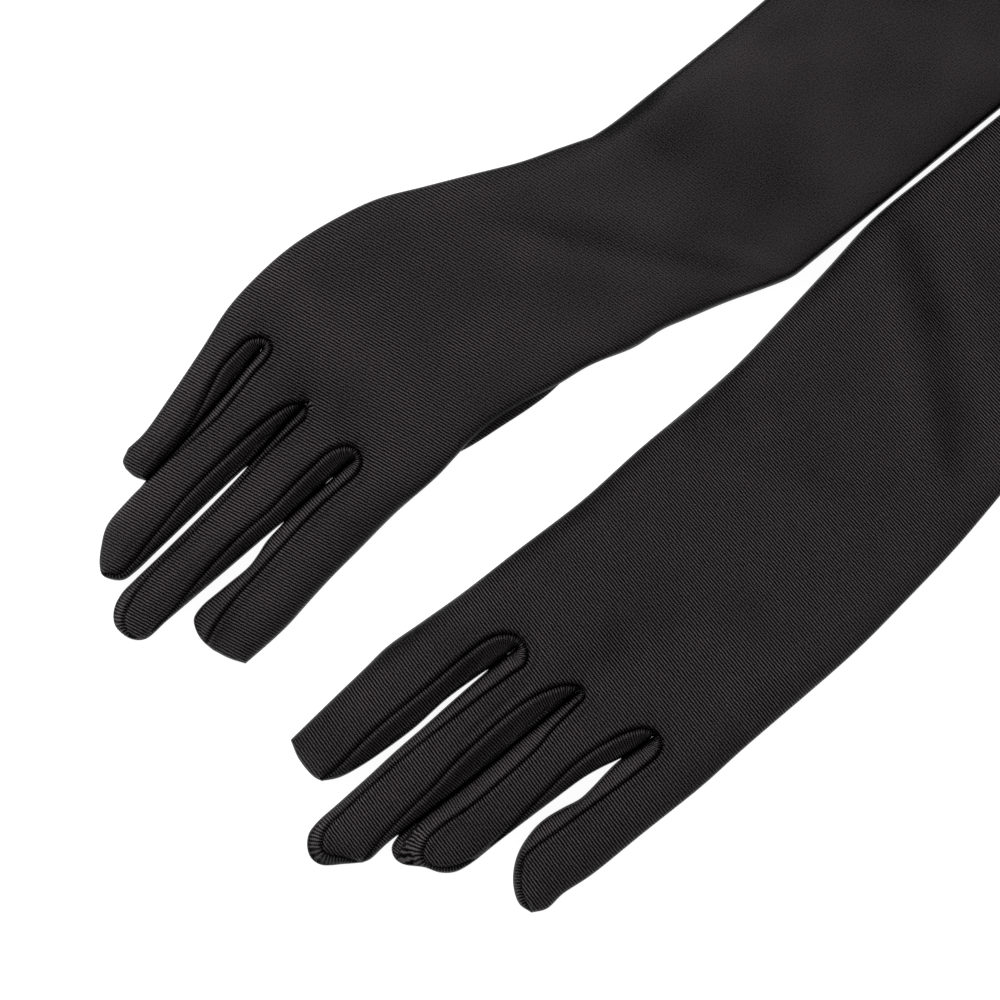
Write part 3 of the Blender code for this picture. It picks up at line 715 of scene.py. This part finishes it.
def make_piece(name, mould, faces, weave, material, ribs, painted_shade_and_light):
    """A mesh object of some of a mould's faces, with its rib and place maps and its painted shade and
    light.
    """
    used, corners = np.unique(faces, return_inverse=True)
    maps = {"Weave": weave[used], "Place": mould.flat[used] * MM}
    # The crease attribute carries the painted shade and painted light of the cloth.
    values = {"ribs": ribs[used], "crease": painted_shade_and_light[used]}
    faces = corners.reshape(faces.shape).tolist()
    piece = mesh_object(name, mould.xyz[used] * MM, faces, maps, values, material)
    piece.data.normals_split_custom_set_from_vertices(mould.normals[used].tolist())
    return piece


# ---- materials

class Graph:
    """A short way to wire up a material's nodes."""

    def __init__(self, name):
        self.material = bpy.data.materials.new(name)
        self.material.use_nodes = True
        self.tree = self.material.node_tree
        self.shader = self.tree.nodes["Principled BSDF"]

    def node(self, kind, inputs=(), **settings):
        made = self.tree.nodes.new(kind)
        for key, value in settings.items():
            setattr(made, key, value)
        for socket, value in dict(inputs).items():
            self.feed(made.inputs[socket], value)
        return made

    def feed(self, socket, value):
        if isinstance(value, bpy.types.NodeSocket):
            self.tree.links.new(value, socket)
        else:
            socket.default_value = value

    def math(self, operation, a, b=0.0, c=0.0):
        inputs = {0: a, 1: b, 2: c} if operation == "MULTIPLY_ADD" else {0: a, 1: b}
        return self.node("ShaderNodeMath", inputs, operation=operation).outputs[0]

    def wave(self, position, pitch):
        """A sine between 0 and 1 that repeats every pitch along position."""
        turned = self.math("SINE", self.math("MULTIPLY", position, math.tau / pitch))
        return self.math("MULTIPLY_ADD", turned, 0.5, 0.5)

    def noise(self, vector, scale, detail=2.0):
        made = self.node("ShaderNodeTexNoise", {"Vector": vector, "Scale": scale, "Detail": detail})
        return made.outputs["Fac"]

    def blend_colours(self, share, first, second):
        mix = self.node("ShaderNodeMix", data_type="RGBA")
        self.feed(mix.inputs["Factor"], share)
        self.feed(mix.inputs["A"], (*first, 1))
        self.feed(mix.inputs["B"], (*second, 1))
        return mix.outputs["Result"]


def satin(name, dark, light, roughness, relief):
    """Ribbed stretch satin: ribs of small stitches, coloured with painted light on their tops and painted
    shade in their grooves, with the painted shade of the crease attribute, a soft sheen and slight
    unevenness.
    """
    g = Graph(name)
    weave = g.node("ShaderNodeSeparateXYZ", {0: g.node("ShaderNodeUVMap", uv_map="Weave").outputs[0]})
    place = g.node("ShaderNodeUVMap", uv_map="Place").outputs[0]
    strength = g.node("ShaderNodeAttribute", attribute_name="ribs").outputs["Fac"]
    # crease holds painted shade and painted light: taken off the colour share below, it darkens the cloth
    # where shade falls and lightens it where it is below 0.
    crease = g.node("ShaderNodeAttribute", attribute_name="crease").outputs["Fac"]
    patches = g.noise(place, 38.0)
    clear = g.math("MULTIPLY", strength, g.math("MULTIPLY_ADD", patches, 2.4, -0.2))
    wander = g.math("MULTIPLY", g.noise(place, 600.0), 0.0005)
    across = g.math("ADD", weave.outputs["X"], wander)
    ribs = g.wave(across, RIB_PITCH * MM)
    row = g.math("FLOOR", g.math("DIVIDE", across, RIB_PITCH * MM))
    along = g.math("MULTIPLY_ADD", row, STITCH_PITCH * MM / 2, weave.outputs["Y"])
    stitches = g.wave(along, STITCH_PITCH * MM)
    fibre = g.math("SUBTRACT", g.noise(place, 2400.0, 3.0), 0.5)
    # The ribs' colour is painted light and shade: lighter on the rib tops and darker in their grooves,
    # besides the bump.
    ridge = g.math("MULTIPLY_ADD", stitches, 0.22, g.math("SUBTRACT", ribs, 0.61))
    grain = g.math("MULTIPLY", fibre, g.math("MULTIPLY_ADD", strength, 0.45, 1.1))
    shape = g.math("MULTIPLY_ADD", ridge, clear, g.math("ADD", grain, 0.5))
    share = g.math("MULTIPLY_ADD", patches, 0.25, g.math("SUBTRACT", shape, crease))
    share = g.math("SUBTRACT", share, 0.325)
    g.feed(g.shader.inputs["Base Color"], g.blend_colours(share, dark, light))
    g.feed(g.shader.inputs["Roughness"], g.math("MULTIPLY_ADD", shape, -0.10, roughness))
    bump = g.node("ShaderNodeBump", {"Height": shape, "Distance": relief * MM, "Strength": 1.0})
    g.feed(g.shader.inputs["Normal"], bump.outputs[0])
    g.shader.inputs["Sheen Weight"].default_value = 0.004
    g.shader.inputs["Sheen Roughness"].default_value = 0.45
    g.shader.inputs["Specular IOR Level"].default_value = 0.03
    return g.material


def thread(name, dark, light):
    """Overlock and hem thread: twisted yarn with a dry finish."""
    g = Graph(name)
    place = g.node("ShaderNodeTexCoord").outputs["UV"]
    twist = g.wave(g.math("ADD", g.node("ShaderNodeSeparateXYZ", {0: place}).outputs["X"],
                          g.math("MULTIPLY", g.noise(place, 900.0), 0.0002)), 0.45 * MM)
    fluff = g.noise(place, 3000.0, 3.0)
    g.feed(g.shader.inputs["Base Color"], g.blend_colours(twist, dark, light))
    g.feed(g.shader.inputs["Roughness"], g.math("MULTIPLY_ADD", fluff, 0.15, 0.65))
    height = g.math("MULTIPLY_ADD", twist, 0.7, g.math("MULTIPLY", fluff, 0.3))
    bump = g.node("ShaderNodeBump", {"Height": height, "Distance": 0.1 * MM, "Strength": 0.8})
    g.feed(g.shader.inputs["Normal"], bump.outputs[0])
    return g.material


SATIN = satin("black_ribbed_satin", (0.0005, 0.0005, 0.0005), (0.0760, 0.0672, 0.0698), 0.44, 0.2)
GUSSET = satin("black_fourchette_satin", (0.0005, 0.0005, 0.0005), (0.0830, 0.0740, 0.0770), 0.48, 0.2)
THREAD = thread("black_thread", (0.007, 0.007, 0.007), (0.02, 0.02, 0.02))


# ---- pieces

def rib_map(plan, flat):
    """Weave coordinates of the trank, in metres, and how strongly its ribs show."""
    x, y = flat[:, 0], flat[:, 1] - 50 * plan.sign
    lean = np.interp(x, RIB_PLACES, RIB_LEANS[plan.side])
    steps = np.arange(-290.0, 330.0)
    pitch = np.interp(steps, RIB_PLACES, RIB_PITCHES)
    count = np.concatenate([[0], np.cumsum(1 / pitch[:-1])])
    ribs = np.interp(x + lean * y, steps, count) / math.hypot(1, lean.mean())
    strength = np.interp(x, RIB_PLACES, RIB_STRENGTHS[plan.side])
    return np.column_stack([ribs * RIB_PITCH, y - lean * x]) * MM, strength


def seam_map(seam, flat):
    """Weave coordinates of a fourchette: its ribs stand square to its seam."""
    distance, arc = nearest(flat, seam)
    return np.column_stack([arc, distance]) * MM


# The least that the cloth of a fork reaches onto the hand, past the hinges of its fingers
FORK_REACH = 1.6


def build_glove(side):
    plan = Plan(side)
    far = 112.0 * plan.sign
    cuts = []
    for number, name in enumerate(FINGERS):
        x = HINGE_X[side][name]
        gaps = [np.interp(x, line[:, 0], line[:, 1]) - 0.2 * plan.sign for line in plan.contacts]
        low, high = [0.0, *gaps, far][number:number + 2]
        cuts.append(resampled(np.linspace((x, low), (x, high), 9)))
    cuts.append(resampled(np.linspace((SLEEVE_FOLD_X, 0), (SLEEVE_FOLD_X, far), 9)))
    mould = Mould(plan.mesh_line, plan.seams, cuts, (0.45, 1.0, 1.7, 2.6))
    back, palm = plan.heights(mould.points)
    mould.raise_to(back, palm, HEM_X - 0.01)
    mould.xyz[:, 1] += plan.pressed(mould.flat)

    weave, ribs = rib_map(plan, mould.flat)
    # Painted shade and painted light of the cloth, handed to the material as its crease attribute
    painted_shade_and_light = plan.painted_shade_and_light(mould.flat)
    gusset_weaves = [seam_map(seam, mould.flat) for seam in plan.seams]
    centres = mould.centres
    number = plan.finger_of(centres)
    hinges = np.array([HINGE_X[side][name] for name in FINGERS])
    on_finger = centres[:, 0] < hinges[number]
    on_sleeve = centres[:, 0] > SLEEVE_FOLD_X
    on_hand = ~on_finger & ~on_sleeve
    in_pocket = [inside(centres, pocket) & (centres[:, 0] < GAPS_END_X) for pocket in plan.pockets]
    for k, pocket in enumerate(plan.pockets):
        short = hinges[k:k + 2].max() + FORK_REACH - pocket[:, 0].max()
        if short > 0:
            in_pocket[k] |= on_hand & inside(centres - (short, 0), pocket)

    def piece(node, body, chosen, layers="both", pocket=None):
        parts = []
        if layers in ("both", "back"):
            parts.append(mould.faces[chosen])
        if layers in ("both", "palm"):
            parts.append(mould.low_faces[chosen])
        cloth = SATIN if pocket is None else GUSSET
        uv = weave if pocket is None else gusset_weaves[pocket]
        shown = ribs if pocket is None else np.ones(len(ribs))
        made = make_piece(f"{side}_{node}_cloth", mould, np.vstack(parts), uv, cloth, shown, painted_shade_and_light)
        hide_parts(f"{side}_{node}")
        if node == "hand_trank":
            bend(made, side, "sleeve")
        elif body == "hand":
            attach(made, f"{side}_hand")
        else:
            bend(made, side, body)
        return made

    pocket_any = in_pocket[0] | in_pocket[1] | in_pocket[2]
    hand = piece("hand_trank", "hand", on_hand & ~pocket_any)
    for k, gap in enumerate(("index_middle", "middle_ring", "ring_little")):
        piece(f"fork_{gap}", "hand", on_hand & in_pocket[k], pocket=k)
    nowhere = np.zeros(len(centres), bool)
    beside = [nowhere, *in_pocket, nowhere]
    for f, name in enumerate(FINGERS):
        mine = on_finger & (number == f)
        near = mine & beside[f]
        beyond = mine & beside[f + 1] & ~near
        plain = mine & ~near & ~beyond
        if name == "index":
            piece("index_trank", name, plain)
            piece("index_fourchette", name, beyond, pocket=0)
        else:
            piece(f"{name}_back", name, plain, "back")
            piece(f"{name}_palm", name, plain, "palm")
            if name == "little":
                piece("little_fourchette", name, near, pocket=2)
            else:
                piece(f"{name}_near_fourchette", name, near, pocket=f - 1)
                piece(f"{name}_far_fourchette", name, beyond, pocket=f)
    sleeve = piece("sleeve_trank", "sleeve", on_sleeve)
    return plan


# Where the cloth would start and end to bend, beside the hinge of its joint, in metres; bend reads these
# but does not bend the cloth
BENDS = {"sleeve": (-0.008, 0.009), "finger": (0.0, -0.016)}


def bend(piece, side, name):
    """Bakes the piece's placement into its points; the joint and the stretch of BENDS, where it would bend
    from the hand into a finger or the sleeve, are looked up but not used.
    """
    joint = next(j for j in frame["joints"] if j["name"] == f"{side}_{name}_fold")
    x, _, z = joint["pos_m"]
    before, after = BENDS["sleeve" if name == "sleeve" else "finger"]
    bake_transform(piece)


def tube_faces(rings, sides):
    """The faces of a tube whose points are listed ring by ring."""
    faces = []
    for i in range(rings - 1):
        for j in range(sides):
            k = (j + 1) % sides
            faces.append((i * sides + j, i * sides + k, (i + 1) * sides + k, (i + 1) * sides + j))
    return faces


def sweep(path, wide, tall, aside, sides=8):
    """Points, faces and map of a closed tube along path, wide along aside and tall across."""
    path = np.asarray(path, float)
    tangent = unit(np.gradient(path, axis=0))
    aside = unit(aside - (aside * tangent).sum(1)[:, None] * tangent)
    up = np.cross(tangent, aside)
    turn = np.arange(sides) * math.tau / sides
    points = (path[:, None] + np.cos(turn)[:, None] * (wide[:, None] * aside)[:, None]
              + np.sin(turn)[:, None] * (tall[:, None] * up)[:, None])
    place = np.stack(np.broadcast_arrays(lengths_along(path)[:, None], turn * wide.mean()), -1)
    faces = tube_faces(len(path), sides)
    faces.append(tuple(range(sides))[::-1])
    faces.append(tuple(range((len(path) - 1) * sides, len(path) * sides)))
    return points.reshape(-1, 3), faces, place.reshape(-1, 2)


def make_solid(name, parts, material):
    """One object of several parts, each given as points, faces and map in millimetres."""
    faces, first = [], 0
    for part_points, part_faces, _ in parts:
        faces += [tuple(corner + first for corner in face) for face in part_faces]
        first += len(part_points)
    points = np.vstack([part[0] for part in parts]) * MM
    places = np.vstack([part[2] for part in parts]) * MM
    maps = {"Weave": places, "Place": places}
    piece = mesh_object(name, points, faces, maps, {"ribs": np.full(first, 0.6)}, material)
    return piece


# How far in from the glove's edge its side seam lies, and the size of its overlock loops
SEAM_DEPTH = 2.4
OVERLOCK_WIDTH = 1.2
OVERLOCK_HEIGHT = 0.42
OVERLOCK_PITCH = 1.6


def overlock(name, line):
    """The overlocked edges of a side seam, a band of thread loops that follows line."""
    along = lengths_along(line)
    arc = np.arange(0, along[-1], OVERLOCK_PITCH / 4)
    loops = np.sin(math.tau * arc / OVERLOCK_PITCH)
    path = points_at(arc, along, line)
    direction = np.gradient(path, axis=0)
    aside = np.column_stack([-direction[:, 1], direction[:, 0], np.zeros(len(path))])
    wide = OVERLOCK_WIDTH * (1 + 0.10 * loops)
    tall = OVERLOCK_HEIGHT * (1 + 0.28 * loops)
    return make_solid(name, [sweep(path, wide, tall, aside)], THREAD)


def side_seams(side, plan):
    """The inner edges of the seam on the far side, cut where the hand bends."""
    line = plan.far_line
    step = np.gradient(line, axis=0)
    inward = unit(np.column_stack([step[:, 1], -step[:, 0]])) * plan.sign
    line = line + SEAM_DEPTH * inward
    line = np.column_stack([line, plan.rim(plan.thumb_cover(line))])
    hinge = HINGE_X[side]["little"]
    start = line[:, 0].argmin() + 2
    parts = {
        "little": line[start:][line[start:, 0] <= hinge],
        "hand": line[(line[:, 0] > hinge) & (line[:, 0] <= SLEEVE_FOLD_X)],
        "sleeve": line[(line[:, 0] > SLEEVE_FOLD_X) & (line[:, 0] < HEM_X - HEM_DEPTH - 1)],
    }
    for body, stretch in parts.items():
        made = overlock(f"{side}_{body}_overlock", stretch)
        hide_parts(f"{side}_{body}_side_seam")
        bend(made, side, "sleeve" if body == "hand" else body)


# The thumb hole of the palm, the points round it, and how high its seam lies
HOLE_RADIUS = 7.2
HOLE_POINTS = 121
HOLE_HEIGHT = 3.05


def thumb(side, plan):
    """The thumb of the glove, pressed flat under the palm."""
    root, _, lean = THUMBS[side]
    root = np.array(root)
    ahead = np.array([-math.cos(math.radians(lean)), plan.sign * math.sin(math.radians(lean))])
    outward = np.array([-ahead[1], ahead[0]])
    half = [(61.8, 0), (59.5, 4.6), (53.5, 7.9), (44, 9.7), (30, 10), (21, 10), (14, 9.6), (8, 8.6),
            (2, 7.9), (-3, 7.6), (-8, 5.9), (-11, 3), (-12, 0)]
    outline = smooth_run(half + [(a, -b) for a, b in half[-2::-1]])
    plan_line = resampled(root + outline[:, :1] * ahead + outline[:, 1:] * outward)[:-1]
    mould = Mould(plan_line, [], [], (0.45, 1.0, 1.7))
    edge = nearest(mould.points, closed(plan_line))[0]
    middle, crown, floor = 1.45, 2.85, 0.05
    rise = roll(edge, 1.6)
    crease = 0.18 * np.sin(mould.points[:, 0] / 2.6) * ease(edge, 1, 5)
    back = middle + (crown - 0.2 - middle) * rise + crease
    palm = middle - (middle - floor) * rise
    mould.raise_to(back, palm)
    weave, ribs = rib_map(plan, mould.flat)
    every = np.vstack([mould.faces, mould.low_faces])
    made = make_piece(f"{side}_thumb_cloth", mould, every, weave, SATIN, ribs, 0 * ribs)
    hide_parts(f"{side}_thumb")
    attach(made, f"{side}_thumb")

    turn = np.linspace(0, math.tau, HOLE_POINTS)
    gathers = 1 + 0.22 * np.sin(math.tau * HOLE_RADIUS * turn / 2.1)
    aside = np.column_stack([np.cos(turn), np.sin(turn), 0 * turn])
    ring = HOLE_RADIUS * aside + (*root, HOLE_HEIGHT)
    seam = make_solid(f"{side}_thumb_seam", [sweep(ring, 0.55 * gathers, 0.2 * gathers, aside)],
                      THREAD)
    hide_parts(f"{side}_thumb_hole_seam")
    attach(seam, f"{side}_hand")


def mouth_loop(plan, x, inward, count=44):
    """The loop of the sleeve's cloth at x, moved inward from its surface."""
    share = 0.5 - 0.5 * np.cos(np.linspace(0, math.pi, count))
    near = 0.7 * plan.sign
    far = np.interp(x, plan.far_line[:, 0], plan.far_line[:, 1])
    flat = np.column_stack([np.full(count, x), near + (far - near) * share])
    back, palm = plan.heights(flat)
    loop = np.vstack([np.column_stack([flat, back]), np.column_stack([flat, palm])[-2:0:-1]])
    step = np.roll(loop, -1, axis=0) - np.roll(loop, 1, axis=0)
    normal = unit(np.column_stack([0 * step[:, 0], step[:, 2], -step[:, 1]])) * plan.sign
    return loop + inward * normal


def hem(side, plan):
    """The hem: cloth turned in at the arm opening, with one row of stitches."""
    turned_edge = [(-1.2, -0.02), (-0.7, -0.14), (0, -0.16), (0.35, 0.1), (0.45, 0.45), (0.35, 0.8),
                   (0, 1.05), (-2, 1.1), (-6, 1.1), (1 - HEM_DEPTH, 1.1), (-HEM_DEPTH, 0.95),
                   (-HEM_DEPTH, 0.35)]
    loops = [mouth_loop(plan, HEM_X + along, inward) for along, inward in turned_edge]
    points = np.vstack(loops)
    faces = tube_faces(len(loops), len(loops[0]))
    if plan.sign < 0:
        faces = [face[::-1] for face in faces]
    made = make_solid(f"{side}_hem_band", [(points, faces, points[:, :2])], SATIN)
    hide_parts(f"{side}_hem")
    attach(made, f"{side}_sleeve")

    line = mouth_loop(plan, HEM_X - HEM_DEPTH + 2, -0.1, 80)
    along = lengths_along(line)
    girth = 0.2 * np.sqrt(np.sin(np.linspace(0.15, math.pi - 0.15, 6)))
    stitches = []
    for start in np.arange(0.5, along[-1] - 3, HEM_STITCH_PITCH):
        path = points_at(np.linspace(start, start + 0.75 * HEM_STITCH_PITCH, 6), along, line)
        stitches.append(sweep(path, girth, girth, np.tile([1.0, 0, 0], (6, 1)), 6))
    made = make_solid(f"{side}_hem_stitches", stitches, THREAD)
    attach(made, f"{side}_sleeve")


for side in ("right", "left"):
    plan = build_glove(side)
    side_seams(side, plan)
    thumb(side, plan)
    hem(side, plan)

# ---- floor, light, camera

# The camera looks straight down at this point, and this much is as wide as its picture
VIEW_CENTRE = Vector((-0.163, 0.0045, 0.0))
VIEW_WIDTH = 0.300
VIEW_HEIGHT = 1.2
VIEW_TURN = math.radians(-39.2)


def make_floor():
    """A plain white floor that glows softly, like a light table, so that it shows no shadow."""
    data = bpy.data.meshes.new("floor")
    size = 3.0
    corners = [(-size, -size, 0), (size, -size, 0), (size, size, 0), (-size, size, 0)]
    data.from_pydata(corners, [], [(0, 1, 2, 3)])
    g = Graph("pale_floor")
    g.shader.inputs["Base Color"].default_value = (0.35, 0.35, 0.35, 1)
    g.shader.inputs["Roughness"].default_value = 0.9
    g.shader.inputs["Emission Color"].default_value = (1, 1, 1, 1)
    g.shader.inputs["Emission Strength"].default_value = 0.9
    data.materials.append(g.material)
    floor = bpy.data.objects.new("floor", data)
    floor.location = (0, 0, -0.0002)
    bpy.context.scene.collection.objects.link(floor)
    floor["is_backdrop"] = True


def make_light(name, place, size, power):
    """A round area light that points at the middle of the frame."""
    data = bpy.data.lights.new(name, "AREA")
    data.shape = "DISK"
    data.size = size
    data.energy = power
    light = bpy.data.objects.new(name, data)
    light.location = place
    light.rotation_mode = "QUATERNION"
    light.rotation_quaternion = (-Vector(place)).to_track_quat("-Z", "Y")
    bpy.context.scene.collection.objects.link(light)


make_floor()
make_light("soft_key", (-0.30, 1.6, 1.15), 1.2, 48)
world = bpy.data.worlds.new("studio")
world.use_nodes = True
world.node_tree.nodes["Background"].inputs["Color"].default_value = (1, 1, 1, 1)
world.node_tree.nodes["Background"].inputs["Strength"].default_value = 0.48
bpy.context.scene.world = world
bpy.context.scene.view_settings.view_transform = "Standard"

camera_data = bpy.data.cameras.new("camera")
camera_data.sensor_width = 36
camera_data.lens = 36 * VIEW_HEIGHT / VIEW_WIDTH
camera = bpy.data.objects.new("camera", camera_data)
camera.location = VIEW_CENTRE + Vector((0, 0, VIEW_HEIGHT))
camera.rotation_euler = (0, 0, VIEW_TURN)
bpy.context.scene.collection.objects.link(camera)
bpy.context.scene.camera = camera

[[list(corner) for corner in box] for box in (CAD_BOX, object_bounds())]
